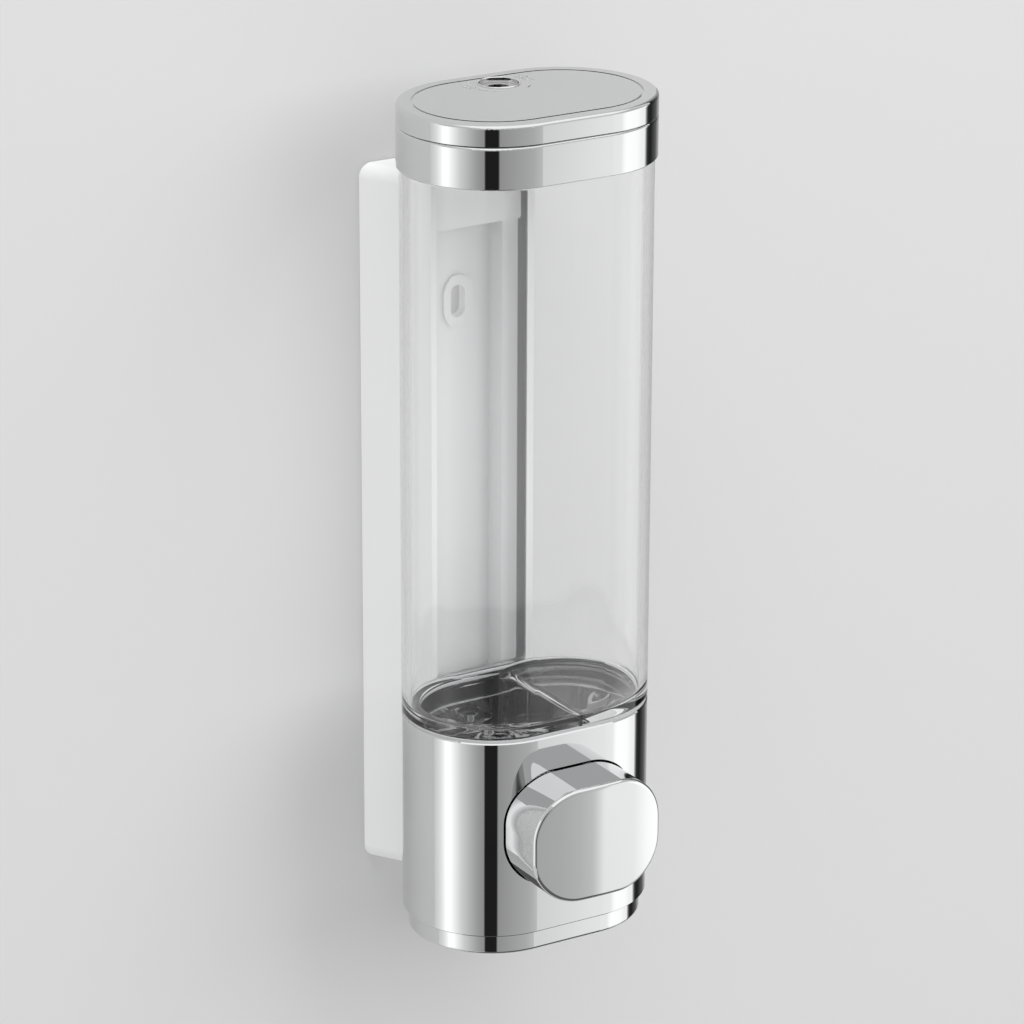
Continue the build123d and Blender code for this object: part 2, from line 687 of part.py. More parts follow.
with BuildPart() as hanger_hook:
    with BuildSketch(level(plate_low, y=hook_plate_front + plate_t / 2)):
        Rectangle(hook_w, plate_t)
    extrude(amount=plate_h)
    with BuildSketch(level(plate_low, y=(hook_plate_front + tongue_back) / 2)):
        Rectangle(tongue_w, tongue_back - hook_plate_front)
    extrude(amount=tongue_t)
    with BuildSketch(level(tongue_foot, y=(tongue_front + tongue_back) / 2)):
        Rectangle(tongue_w, tongue_back - tongue_front)
    extrude(amount=plate_low - tongue_foot + 1)
    chamfer(hanger_hook.edges().group_by(Axis.Z)[0].filter_by(Axis.X), 0.7)
    for x in (-hook_screw_x, 0, hook_screw_x):
        with BuildSketch(side(x - gusset_t / 2)):
            with BuildLine():
                Polyline(
                    (hook_plate_front + plate_t - 0.5, gusset_low), (tongue_front - 1, gusset_low),
                    (hook_plate_front + plate_t - 0.5, gusset_high), close=True,
                )
            make_face()
        extrude(amount=gusset_t)
    for x in (-hook_screw_x, hook_screw_x):
        with BuildSketch(facing(30, x=x, h=hook_screw_h)):
            Circle(hook_hole)
        extrude(amount=8, mode=Mode.SUBTRACT)
save("hanger_hook", hanger_hook)

with BuildPart() as hook_screws:
    for x in (-hook_screw_x, hook_screw_x):
        with BuildSketch(facing(hook_plate_front + plate_t, x=x, h=hook_screw_h)):
            Circle(hook_hole + 4 * fit)
        extrude(amount=-1.0)
        with BuildSketch(facing(hook_plate_front + plate_t + 0.4, x=x, h=hook_screw_h)):
            Circle(hook_pilot - fit)
        extrude(amount=6.5)
save("hook_screws", hook_screws)

# Lid: a plated shell with a rolled rim, a fine groove round its flat and a hole for the lock
lid_shell, lid_skin = 1.2, 2.0
groove_in, groove_out, groove_d = 3.9, 3.2, 0.45
lid_edge_r = 1.1
liner_screws_at = [(x, y) for x in (-21, 21) for y in (-8, 8)]

with BuildPart() as lid:
    with BuildSketch(level(lid_foot)):
        oval(-collar_grow)
    extrude(amount=lid_top - lid_foot)
    fillet(lid.edges().group_by(Axis.Z)[-1], lid_edge_r)
    with BuildSketch(level(lid_foot - 1)):
        oval(lid_shell)
    extrude(amount=lid_top - lid_skin - lid_foot + 1, mode=Mode.SUBTRACT)
    with BuildSketch(level(lid_top - groove_d)):
        band(groove_out, groove_in)
    extrude(amount=1, mode=Mode.SUBTRACT)
    with BuildSketch(level(lid_top - 4, y=lock_y)):
        Circle(lock_r + fit)
    extrude(amount=5, mode=Mode.SUBTRACT)
    for x, y in liner_screws_at:
        with BuildSketch(level(lid_top - lid_skin - 1, x=x, y=y)):
            Circle(tiny_hole)
        extrude(amount=2.3, mode=Mode.SUBTRACT)
save("lid", lid)

# Lid liner: fills the shell and plugs the collar's opening
liner_foot, liner_mid, liner_top = 235.3, 241.25, lid_top - lid_skin - fit
plug_inset, plug_wall = lip_inset + 0.5, 1.8
barrel_r, stud_r = 3.4, 1.9
nut_r = 8.0
rib_xs, rib_t, rib_l, rib_y = (-12, 0, 12), 1.4, 26.0, -5.0

with BuildPart() as lid_liner:
    with BuildSketch(level(liner_mid)):
        oval(lid_shell + 0.15)
    extrude(amount=liner_top - liner_mid)
    with BuildSketch(level(liner_foot)):
        band(plug_inset, plug_inset + plug_wall)
    extrude(amount=liner_mid - liner_foot)
    with BuildSketch(level(liner_mid - 2)):
        oval(plug_inset + 0.5)
    extrude(amount=2)
    for x in rib_xs:
        with BuildSketch(level(liner_foot + 2, x=x, y=rib_y)):
            Rectangle(rib_t, rib_l)
        extrude(amount=liner_mid - liner_foot - 2)
    with BuildSketch(level(liner_mid - fit, y=lock_y)):
        Circle(nut_r + 0.4)
    extrude(amount=5, mode=Mode.SUBTRACT)
    with BuildSketch(level(liner_foot - 1, y=lock_y)):
        Circle(barrel_r + play)
    extrude(amount=10, mode=Mode.SUBTRACT)
    with BuildSketch(level(liner_foot - 1, y=lock_y)):
        Circle(lock_r)
    extrude(amount=3, mode=Mode.SUBTRACT)
    for x, y in liner_screws_at:
        with BuildSketch(level(liner_foot, x=x, y=y)):
            Circle(small_hole)
        extrude(amount=10, mode=Mode.SUBTRACT)
save("lid_liner", lid_liner)

seal_foot = collar_top + 0.25
seal_out, seal_in, seal_r = 2.6, 5.6, 0.6

with BuildPart() as lid_seal:
    with BuildSketch(level(seal_foot)):
        band(seal_out, seal_in)
    extrude(amount=liner_mid - seal_foot)
    fillet(lid_seal.edges().group_by(Axis.Z)[0], seal_r)
save("lid_seal", lid_seal)

with BuildPart() as liner_screws:
    for x, y in liner_screws_at:
        with BuildSketch(level(liner_mid - 3.2, x=x, y=y)):
            Circle(tiny_head)
        extrude(amount=1.2)
        with BuildSketch(level(liner_mid - 2.4, x=x, y=y)):
            Circle(tiny_shaft)
        extrude(amount=5.2)
save("liner_screws", liner_screws)

# Lock: a sleeve held in the lid by a nut, and a plug that turns in it and carries the cam
sleeve_bore, sleeve_proud, sleeve_floor = 5.6, 0.25, 0.7
nut_foot = liner_mid + 0.1
plug_face, plug_r = lid_top - 1.3, sleeve_bore - 0.1

with BuildPart() as lock_sleeve:
    with BuildSketch(level(nut_foot, y=lock_y)):
        Circle(lock_r)
        Circle(sleeve_bore, mode=Mode.SUBTRACT)
    extrude(amount=lid_top + sleeve_proud - nut_foot)
    chamfer(lock_sleeve.edges().group_by(Axis.Z)[-1], 0.2)
    with BuildSketch(level(nut_foot, y=lock_y)):
        Circle(lock_r)
        Circle(barrel_r + 0.1, mode=Mode.SUBTRACT)
    extrude(amount=sleeve_floor)
save("lock_sleeve", lock_sleeve)

with BuildPart() as lock_nut:
    with BuildSketch(level(nut_foot, y=lock_y)):
        RegularPolygon(nut_r, 6)
        Circle(lock_r + fit, mode=Mode.SUBTRACT)
    extrude(amount=lid_top - lid_skin - nut_foot - fit)
save("lock_nut", lock_nut)

key_r, key_depth = 3.4, 2.2
barrel_foot, stud_foot = 236.4, 232.4
cam_top, cam_t, cam_reach, cam_hub, cam_w = 235.0, 1.6, 7.0, 4.0, 6.0

with BuildPart() as lock_plug:
    with BuildSketch(level(nut_foot + sleeve_floor + 0.1, y=lock_y)):
        Circle(plug_r)
    extrude(amount=plug_face - nut_foot - sleeve_floor - 0.1)
    with BuildSketch(level(barrel_foot, y=lock_y)):
        Circle(barrel_r)
    extrude(amount=liner_mid + 1 - barrel_foot)
    with BuildSketch(level(stud_foot + 0.8, y=lock_y)):
        Rectangle(2 * stud_r, 2 * stud_r)
    extrude(amount=barrel_foot - stud_foot - 0.8)
    # half-moon keyway
    with BuildSketch(level(plug_face - key_depth, y=lock_y)):
        Circle(key_r)
        with Locations((0, -key_r)):
            Rectangle(4 * key_r, 2 * key_r, mode=Mode.SUBTRACT)
    extrude(amount=key_depth + 1, mode=Mode.SUBTRACT)
    with BuildSketch(level(stud_foot, y=lock_y)):
        Circle(tiny_hole)
    extrude(amount=4, mode=Mode.SUBTRACT)
save("lock_plug", lock_plug)

with BuildPart() as lock_cam:
    with BuildSketch(level(cam_top - cam_t, y=lock_y)):
        Circle(cam_hub)
        with Locations((cam_reach / 2, 0)):
            Rectangle(cam_reach, cam_w)
        Rectangle(2 * stud_r + 2 * fit, 2 * stud_r + 2 * fit, mode=Mode.SUBTRACT)
    extrude(amount=cam_t)
    fillet(lock_cam.edges().filter_by(Axis.Z).sort_by(Axis.X)[-2:], 1.5)
save("lock_cam", lock_cam)

with BuildPart() as cam_screw:
    with BuildSketch(level(stud_foot - 0.8, y=lock_y)):
        Circle(long_head)
    extrude(amount=1.4)
    with BuildSketch(level(stud_foot, y=lock_y)):
        Circle(tiny_shaft)
    extrude(amount=3.6)
    with BuildSketch(level(stud_foot - 1, y=lock_y)):
        Rectangle(cross_l, slot_cut)
    extrude(amount=0.7, mode=Mode.SUBTRACT)
save("cam_screw", cam_screw)

# Screws from below: two long ones through the base plate, two through the cylinder's ears
base_head_foot, base_screw_l, pump_screw_foot = 1.4, 22.0, 17.0

with BuildPart() as base_screws:
    for x in (-screw_x, screw_x):
        with BuildSketch(level(base_head_foot, x=x)):
            Circle(long_head)
        extrude(amount=head_t)
        with BuildSketch(level(base_head_foot + head_t - 1, x=x)):
            Circle(long_shaft)
        extrude(amount=base_screw_l)
        with BuildSketch(level(base_head_foot - 0.4, x=x)):
            Rectangle(cross_l, slot_cut)
            Rectangle(slot_cut, cross_l)
        extrude(amount=1.2, mode=Mode.SUBTRACT)
save("base_screws", base_screws)

with BuildPart() as pump_screws:
    for x in (-ear_x, ear_x):
        with BuildSketch(level(ear_z + ear_t, x=x, y=ear_y)):
            Circle(small_head)
        extrude(amount=head_t)
        with BuildSketch(level(pump_screw_foot, x=x, y=ear_y)):
            Circle(small_shaft)
        extrude(amount=ear_z + ear_t + 0.4 - pump_screw_foot)
save("pump_screws", pump_screws)
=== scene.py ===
import json
import math

import bmesh
import bpy
import numpy as np
from mathutils import Matrix, Vector


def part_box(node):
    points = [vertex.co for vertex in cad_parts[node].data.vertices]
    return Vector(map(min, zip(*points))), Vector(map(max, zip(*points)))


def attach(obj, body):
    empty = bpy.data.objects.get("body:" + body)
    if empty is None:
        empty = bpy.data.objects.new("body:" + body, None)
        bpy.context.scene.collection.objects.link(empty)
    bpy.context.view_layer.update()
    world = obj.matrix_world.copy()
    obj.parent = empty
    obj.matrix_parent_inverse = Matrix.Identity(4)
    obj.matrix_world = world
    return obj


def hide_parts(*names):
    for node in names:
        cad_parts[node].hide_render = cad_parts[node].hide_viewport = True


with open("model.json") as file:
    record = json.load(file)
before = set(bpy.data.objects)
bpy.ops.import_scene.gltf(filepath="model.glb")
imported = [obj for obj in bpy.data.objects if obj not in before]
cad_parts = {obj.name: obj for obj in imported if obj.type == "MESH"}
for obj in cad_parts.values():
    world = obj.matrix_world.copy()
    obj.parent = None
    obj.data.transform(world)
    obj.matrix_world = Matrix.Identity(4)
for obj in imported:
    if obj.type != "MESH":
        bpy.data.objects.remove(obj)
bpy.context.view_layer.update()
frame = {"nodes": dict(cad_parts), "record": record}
mm = 0.001

# Heights below are in millimetres above the dispenser's foot, and depths are counted from the
# centre line of its oval, positive towards the wall.
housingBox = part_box("housing")
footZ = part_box("base_ring")[0].z
centreY = (housingBox[0].y + housingBox[1].y) / 2
halfWidth = (housingBox[1].x - housingBox[0].x) / 2 / mm
halfDepth = (housingBox[1].y - housingBox[0].y) / 2 / mm


# Surfaces, made as stacks of closed outlines

def heightOf(z):  # frame metres to millimetres above the foot
    return (z - footZ) / mm


def ring(left, right, near, far, leftR, rightR, height, tilt=(0, 0)):
    # one closed outline: a rectangle with its two left and two right corners rounded, which may lean
    return [left, right, near, far, leftR, rightR, height, tilt[0], tilt[1]]


def ovalRing(inset, height, tilt=(0, 0)):
    radius = halfDepth - inset
    return ring(inset - halfWidth, halfWidth - inset, -radius, radius, radius, radius, height, tilt)


def circleRing(radius, y, height):
    return ring(-radius, radius, y - radius, y + radius, radius, radius, height)


def easedRows(rows, ease, steps):
    # Each corner of the profile becomes a parabola: it leaves the side before at the ease distance, has the
    # corner as its control point and meets the side after, as (1-t)^2 A + 2t(1-t) P + t^2 B.
    rows, ease = np.array(rows, float), np.array(ease, float)[:, None]
    before, after = np.roll(rows, 1, 0) - rows, np.roll(rows, -1, 0) - rows
    lengthBefore = np.linalg.norm(before[:, 1:7:5], axis=1)[:, None] + 1e-9
    lengthAfter = np.linalg.norm(after[:, 1:7:5], axis=1)[:, None] + 1e-9
    start = rows + before * np.minimum(ease / lengthBefore, 0.5)
    end = rows + after * np.minimum(ease / lengthAfter, 0.5)
    t = np.linspace(0, 1, steps)[None, :, None]
    eased = (1 - t) ** 2 * start[:, None] + 2 * t * (1 - t) * rows[:, None] + t**2 * end[:, None]
    return eased.reshape(-1, rows.shape[1])


def stackPoints(rows, cornerSteps):
    # Point (profile i, turn j): x = corner centre + r cos, y = corner centre + r sin, with the turn's four
    # quarters each round their own corner, and z = height + tiltX x + tiltY y.
    left, right, near, far, leftR, rightR, height, tiltX, tiltY = (rows[:, k, None] for k in range(9))
    turn = np.concatenate([np.linspace(q, q + 1, cornerSteps) for q in range(4)]) * math.pi / 2
    quarter = np.repeat(np.arange(4), cornerSteps)
    onRight, onFar = np.isin(quarter, (0, 3)), quarter < 2
    radius = np.where(onRight, rightR, leftR)
    x = np.where(onRight, right - rightR, left + leftR) + radius * np.cos(turn)
    y = np.where(onFar, far - radius, near + radius) + radius * np.sin(turn)
    return np.stack([x, y, height + tiltX * x + tiltY * y], -1)


def gridFaces(rowCount, columnCount, closedRows, closedColumns):
    i = np.arange(rowCount if closedRows else rowCount - 1)[:, None]
    j = np.arange(columnCount if closedColumns else columnCount - 1)[None, :]
    iNext, jNext = (i + 1) % rowCount, (j + 1) % columnCount
    corners = (i * columnCount + j, i * columnCount + jNext, iNext * columnCount + jNext, iNext * columnCount + j)
    return np.stack([np.broadcast_to(c, (i.size, j.size)) for c in corners], -1).reshape(-1, 4)


def addMesh(name, points, faces, merge=2e-7):
    mesh = bpy.data.meshes.new(name)
    mesh.from_pydata(points.reshape(-1, 3), [], faces.tolist())
    work = bmesh.new()
    work.from_mesh(mesh)
    bmesh.ops.remove_doubles(work, verts=work.verts, dist=merge)
    bmesh.ops.dissolve_degenerate(work, edges=work.edges, dist=merge)
    work.to_mesh(mesh)
    work.free()
    mesh.shade_smooth()
    piece = bpy.data.objects.new(name, mesh)
    bpy.context.scene.collection.objects.link(piece)
    return piece


def evenNormals(piece):  # large faces stay flat up to the eased edges
    modifier = piece.modifiers.new("evenNormals", "WEIGHTED_NORMAL")
    modifier.mode = "FACE_AREA"
    modifier.weight = 80
    return piece


def upright(points):  # millimetres on the dispenser to metres in the frame
    return points * mm + np.array([0, centreY, footZ])


# Camera

cameraLook = {"azimuth": -30.916, "elevation": 20.029, "roll": 0.192, "distance": 1.2874, "lens": 160.25,
              "aimHeight": 122.5, "shiftRight": -0.0039, "shiftUp": 0.0012}


def addCamera(look):
    azimuth, elevation, roll = (math.radians(look[k]) for k in ("azimuth", "elevation", "roll"))
    back = Vector((math.sin(azimuth) * math.cos(elevation), -math.cos(azimuth) * math.cos(elevation),
                   math.sin(elevation)))
    right = (-back).cross(Vector((0, 0, 1))).normalized()
    up = back.cross(right)
    place = Vector((0, centreY, footZ + look["aimHeight"] * mm)) + right * look["shiftRight"]
    place += up * look["shiftUp"] + back * look["distance"]
    rolledRight = math.cos(roll) * right + math.sin(roll) * up
    rolledUp = math.cos(roll) * up - math.sin(roll) * right
    camera = bpy.data.objects.new("camera", bpy.data.cameras.new("camera"))
    bpy.context.scene.collection.objects.link(camera)
    camera.matrix_world = Matrix.Translation(place) @ Matrix((rolledRight, rolledUp, back)).transposed().to_4x4()
    camera.data.lens = look["lens"]
    camera.data.clip_start = 0.01
    bpy.context.scene.camera = camera


addCamera(cameraLook)
print("camera placed")


# Shader sums and materials

class Wire:  # a socket that can be used in sums
    def __init__(self, tree, socket):
        self.tree, self.socket = tree, socket

    def math(self, operation, *values):
        node = self.tree.nodes.new("ShaderNodeMath")
        node.operation = operation
        for slot, value in zip(node.inputs, values):
            plug(self.tree, slot, value)
        return Wire(self.tree, node.outputs[0])

    def __add__(self, other):
        return self.math("ADD", self, other)

    def __sub__(self, other):
        return self.math("SUBTRACT", self, other)

    def __rsub__(self, other):
        return self.math("SUBTRACT", other, self)

    def __mul__(self, other):
        return self.math("MULTIPLY", self, other)

    __radd__, __rmul__ = __add__, __mul__


def plug(tree, slot, value):
    if isinstance(value, Wire):
        tree.links.new(value.socket, slot)
    else:
        slot.default_value = value


class Finish:  # a material with one main shader
    def __init__(self, name, shader="ShaderNodeBsdfPrincipled", **fixed):
        self.material = bpy.data.materials.new(name)
        self.material.use_nodes = True
        self.tree = self.material.node_tree
        self.tree.nodes.clear()
        self.main = self.tree.nodes.new(shader)
        self.output = self.tree.nodes.new("ShaderNodeOutputMaterial")
        self.tree.links.new(self.main.outputs[0], self.output.inputs["Surface"])
        self.set(**fixed)

    def set(self, **sockets):
        for name, value in sockets.items():
            plug(self.tree, self.main.inputs[name.replace("_", " ")], value)

    def node(self, kind, settings=None, out=0, **sockets):
        node = self.tree.nodes.new("ShaderNode" + kind)
        for name, value in (settings or {}).items():
            if name == "stops":
                for element in list(node.color_ramp.elements)[1:]:
                    node.color_ramp.elements.remove(element)
                node.color_ramp.elements[0].position = value[0][0]
                node.color_ramp.elements[0].color = value[0][1]
                for position, colour in value[1:]:
                    node.color_ramp.elements.new(position).color = colour
            else:
                setattr(node, name, value)
        for name, value in sockets.items():
            plug(self.tree, node.inputs[name.replace("_", " ")], value)
        return Wire(self.tree, node.outputs[out])

    def place(self, scale=(1, 1, 1), centre=(0, 0, 0)):
        coordinates = self.node("TexCoord", out="Object")
        moved = self.node("VectorMath", {"operation": "SUBTRACT"}, Vector=coordinates)
        moved.socket.node.inputs[1].default_value = centre
        return self.node("Mapping", Vector=moved, Scale=scale)

    def noise(self, place, scale, detail=3.0, roughness=0.5):
        return self.node("TexNoise", out="Fac", Vector=place, Scale=scale, Detail=detail, Roughness=roughness)

    def blend(self, share, low, high):
        node = self.tree.nodes.new("ShaderNodeMix")
        node.data_type = "RGBA"
        plug(self.tree, node.inputs[0], share)
        plug(self.tree, node.inputs[6], low)
        plug(self.tree, node.inputs[7], high)
        return Wire(self.tree, node.outputs[2])

    def relief(self, height, depth, strength=1.0):
        self.set(Normal=self.node("Bump", Height=height, Distance=depth, Strength=strength))


def grey(level, tint=0.0):
    return (level * (1 - tint), level, level * (1 + tint), 1)


# Finishes

def chromePlate():
    f = Finish("chromePlate", Metallic=1.0)
    place = f.place()
    film = f.noise(place, 28, 4)
    rub = f.noise(f.place(scale=(1, 1, 0.12)), 900, 2)
    wave = f.noise(place, 55, 1)
    f.set(Base_Color=f.blend(film, grey(0.66, 0.004), grey(0.72, 0.006)),
          Roughness=0.018 + 0.03 * film * rub)
    f.relief(wave, 0.000004)
    return f.material


def whitePlastic():
    f = Finish("whitePlastic", IOR=1.5)
    place = f.place()
    grain, cloud = f.noise(place, 2600, 2), f.noise(place, 35, 3)
    f.set(Base_Color=f.blend(cloud, grey(0.91, 0.003), grey(0.94, 0.003)), Roughness=0.26 + 0.12 * cloud)
    f.relief(grain, 0.00002)
    return f.material


def clearPlastic():
    f = Finish("clearPlastic", IOR=1.49, Transmission_Weight=1.0)
    place = f.place()
    flow = f.noise(f.place(scale=(1, 1, 0.25)), 60, 2)
    f.set(Base_Color=f.blend(flow, grey(0.985, 0.002), grey(1.0, 0.0)), Roughness=0.004 + 0.01 * flow)
    f.relief(f.noise(place, 45, 1), 0.000006)
    return f.material


def mouldedPlastic(name, level, tint, roughness, spread=0.08):
    f = Finish(name, IOR=1.5)
    place = f.place()
    grain, cloud = f.noise(place, 2200, 3), f.noise(place, 60, 4)
    f.set(Base_Color=f.blend(cloud, grey(level * (1 - spread), tint), grey(level * (1 + spread), tint)),
          Roughness=roughness + 0.14 * (cloud - 0.5))
    f.relief(grain, 0.00003)
    return f.material


def silicone():
    f = Finish("silicone", IOR=1.41, Transmission_Weight=0.35)
    cloud = f.noise(f.place(), 240, 4)
    f.set(Base_Color=f.blend(cloud, grey(0.74, 0.01), grey(0.86, 0.01)), Roughness=0.38 + 0.2 * cloud)
    f.relief(f.noise(f.place(), 1500, 2), 0.00003)
    return f.material


def turnedMetal(name, level, tint, roughness, centre):
    f = Finish(name, Metallic=1.0)
    place = f.place(centre=centre)
    marks = f.node("TexWave", {"wave_type": "RINGS", "rings_direction": "Z"}, out="Fac", Vector=place,
                   Scale=700.0, Distortion=0.6, Detail=2.0)
    film = f.noise(place, 160, 4)
    f.set(Base_Color=f.blend(film, grey(level * 0.88, tint), grey(level, tint)),
          Roughness=roughness + 0.12 * marks * film)
    f.relief(marks, 0.000004)
    return f.material


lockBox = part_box("lock_plug")
lockCentre = tuple((lockBox[0] + lockBox[1]) / 2)
finishes = {
    "chrome_plate": chromePlate(),
    "white_plastic": whitePlastic(),
    "clear_plastic": clearPlastic(),
    "grey_plastic": mouldedPlastic("greyPlastic", 0.30, 0.01, 0.42),
    "dark_plastic": mouldedPlastic("darkPlastic", 0.045, 0.01, 0.40),
    "natural_plastic": mouldedPlastic("naturalPlastic", 0.68, -0.02, 0.38, 0.04),
    "silicone": silicone(),
    "dark_rubber": mouldedPlastic("darkRubber", 0.022, 0.0, 0.62, 0.2),
    "steel": turnedMetal("steel", 0.60, 0.01, 0.24, lockCentre),
    "lock_metal": turnedMetal("lockMetal", 0.80, 0.0, 0.05, lockCentre),
}
print("finishes made:", len(finishes))


slotOf = {part["node"]: part["material_slot"] for part in frame["record"]["subparts"]}


def dress(piece, slot):
    piece.data.materials.clear()
    piece.data.materials.append(finishes[slot])


# Stage: the wall, the floor, the lights and what the plated pieces mirror

stageLook = {"wallSize": 3.2, "wallGap": 0.0004, "floorDrop": 0.62, "floorDepth": 3.0,
             "wallPaint": 0.70, "floorPaint": 0.72, "worldLevel": 0.66, "plateLevel": 0.69,
             "roofSize": 1.8, "roofLevel": 1.25, "footSize": 0.9, "footLevel": 0.14,
             "tentRadius": 0.95, "tentFoot": -0.61, "tentTop": 0.25, "roofHeight": 1.0, "tentHug": 0.0012}

# brightness met by a level ray, by compass angle in degrees from straight ahead, positive to the left
tentLevels = [(102, 0.56), (97, 0.71), (93, 0.9), (91, 1.02), (84, 1.02), (79, 0.87), (69, 0.6), (59, 0.45),
              (50, 0.33), (45, 0.285), (40.5, 0.26), (39.5, 0.012), (24, 0.012), (22.5, 0.27), (-17, 0.385),
              (-24, 0.435), (-28, 0.5), (-30.5, 0.66), (-32, 0.775), (-43, 0.8), (-48, 0.95), (-52, 1.0),
              (-69, 0.97), (-76, 0.88), (-84, 0.84), (-86.5, 0.3), (-90, 0.03), (-96, 0.012), (-100, 0.04),
              (-106, 0.09), (-113, 0.3)]
tentSpan = (103, -118)

# name, place in metres, width and height in metres, power in watts
lights = [("keyLight", (1.1, -1.5, 1.0), (1.8, 1.8), 16),
          ("topLight", (-0.2, -0.5, 1.6), (1.4, 0.8), 14),
          ("sideLight", (-1.5, -1.1, 0.3), (1.2, 1.6), 0.8)]


def tentMaterial():
    f = Finish("studioTent", "ShaderNodeEmission")
    across = f.node("SeparateXYZ", Vector=f.node("UVMap"), out="X")
    wide = tentSpan[0] - tentSpan[1]
    stops = [((tentSpan[0] - angle) / wide, grey(level)) for angle, level in tentLevels]
    f.set(Color=f.node("ValToRGB", {"stops": stops}, Fac=across), Strength=1 / stageLook["plateLevel"])
    f.material.cycles.emission_sampling = "NONE"
    return f.material


def mirrorOnly(sheet):  # seen in the plated pieces and by nothing else
    for ray in ("camera", "diffuse", "shadow", "transmission"):
        setattr(sheet, "visible_" + ray, False)


def addPanel(name, height, size, level):  # a level panel that the plated pieces mirror
    f = Finish(name, "ShaderNodeEmission")
    f.set(Color=grey(1.0), Strength=level)
    f.material.cycles.emission_sampling = "NONE"
    points = np.array([[[x, centreY - size / 2 + y, height] for y in (-size / 2, size / 2 - 0.02)]
                       for x in (-size / 2, size / 2)])
    panel = addMesh(name, points, gridFaces(2, 2, False, False), 0)
    panel.data.materials.append(f.material)
    mirrorOnly(panel)


def addTent(look):
    # Point (turn, height) stands on a circle round the dispenser, or where that would be behind the wall,
    # just before the wall in the same direction.
    angle = np.radians(np.linspace(tentSpan[0], tentSpan[1], 443))[:, None]
    height = np.linspace(look["tentFoot"], look["tentTop"], 3)[None, :]
    toWall = (-centreY - look["tentHug"]) / np.maximum(-np.cos(angle), 1e-6)
    radius = np.minimum(look["tentRadius"], toWall)
    points = np.stack(np.broadcast_arrays(-np.sin(angle) * radius, centreY - np.cos(angle) * radius, height), -1)
    faces = gridFaces(points.shape[0], points.shape[1], False, False)
    tent = addMesh("studioTent", points, faces, 0)
    share = np.linspace(0, 1, points.shape[0]).repeat(points.shape[1])
    layer = tent.data.uv_layers.new(name="UVMap")
    corner = np.zeros(len(tent.data.loops), np.int32)
    tent.data.loops.foreach_get("vertex_index", corner)
    layer.data.foreach_set("uv", np.stack([share[corner], share[corner] * 0], -1).ravel().astype(np.float32))
    tent.data.materials.append(tentMaterial())
    mirrorOnly(tent)


def addSheet(name, centre, across, up, material):  # a flat sheet whose front is across x up
    a, b = np.meshgrid((-0.5, 0.5), (-0.5, 0.5), indexing="ij")
    points = np.array(centre) + a[..., None] * np.array(across) + b[..., None] * np.array(up)
    sheet = addMesh(name, points, gridFaces(2, 2, False, False)[:, ::-1], 0)
    sheet.data.materials.append(material)
    return sheet


def backdropMaterial(name, level, seeThrough):
    f = Finish(name, Roughness=0.75, Specular_IOR_Level=0.1)
    cloud = f.noise(f.place(), 2.2, 2)
    f.set(Base_Color=f.blend(cloud, grey(level * 0.985), grey(level * 1.015)))
    if seeThrough:
        mix = f.tree.nodes.new("ShaderNodeMixShader")
        clear = f.tree.nodes.new("ShaderNodeBsdfTransparent")
        plug(f.tree, mix.inputs[0], f.node("NewGeometry", out="Backfacing"))
        f.tree.links.new(f.main.outputs[0], mix.inputs[1])
        f.tree.links.new(clear.outputs[0], mix.inputs[2])
        f.tree.links.new(mix.outputs[0], f.output.inputs["Surface"])
    return f.material


def addLight(name, place, size, power):  # aimed at the origin of the frame
    light = bpy.data.objects.new(name, bpy.data.lights.new(name, "AREA"))
    light.data.shape = "RECTANGLE"
    light.data.size, light.data.size_y = size
    light.data.energy = power
    light.matrix_world = (Matrix.Translation(place)
                          @ (-Vector(place)).to_track_quat("-Z", "Y").to_matrix().to_4x4())
    light.visible_glossy = False
    light.visible_transmission = False
    bpy.context.scene.collection.objects.link(light)


def addStage(look):
    size, drop = look["wallSize"], look["floorDrop"]
    wall = addSheet("backWall", (0, look["wallGap"], 0.4), (size, 0, 0), (0, 0, size - 1),
                    backdropMaterial("wallPaint", look["wallPaint"], True))
    wall.visible_diffuse = wall.visible_shadow = False  # so the bracket's back is lit when seen from behind
    addSheet("floor", (0, -look["floorDepth"] / 2, -drop), (size, 0, 0), (0, look["floorDepth"], 0),
             backdropMaterial("floorPaint", look["floorPaint"], False))
    addTent(look)
    addPanel("roofPanel", look["roofHeight"], look["roofSize"], look["roofLevel"])
    addPanel("footPanel", look["tentFoot"] + 0.002, look["footSize"], look["footLevel"])
    for name, place, lightSize, power in lights:
        addLight(name, place, lightSize, power)
    world = bpy.data.worlds.new("studio")
    bpy.context.scene.world = world
    world.use_nodes = True
    world.node_tree.nodes["Background"].inputs["Color"].default_value = grey(1.0)
    world.node_tree.nodes["Background"].inputs["Strength"].default_value = look["worldLevel"]
    bpy.context.scene.view_settings.view_transform = "Standard"


addStage(stageLook)
print("stage set")


# Tank

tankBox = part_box("tank")
tankShape = {"wall": 2.5, "floor": 69.7, "foot": 66.6, "neckFoot": 226.8, "neckInset": 1.0,
             "skirtOut": 2.0, "skirtIn": 3.8, "skirtFoot": 60.0,
             "wellInset": 5.2, "wellWall": 1.6, "wellRight": 7.0, "wellCorner": 4.0,
             "wellFloor": 56.25, "wellSlope": -12.5 / 41.0, "floorThick": 2.0, "rampDrop": 2.7,
             "spigotY": 14.0, "spigotR": 5.0, "spigotBore": 3.2}


def wellRing(s, outer, height, tilt=(0, 0)):
    radius = halfDepth - s["wellInset"] + outer
    return ring(s["wellInset"] - outer - halfWidth, s["wellRight"] + outer, -radius, radius, radius,
                s["wellCorner"] + outer, height, tilt)


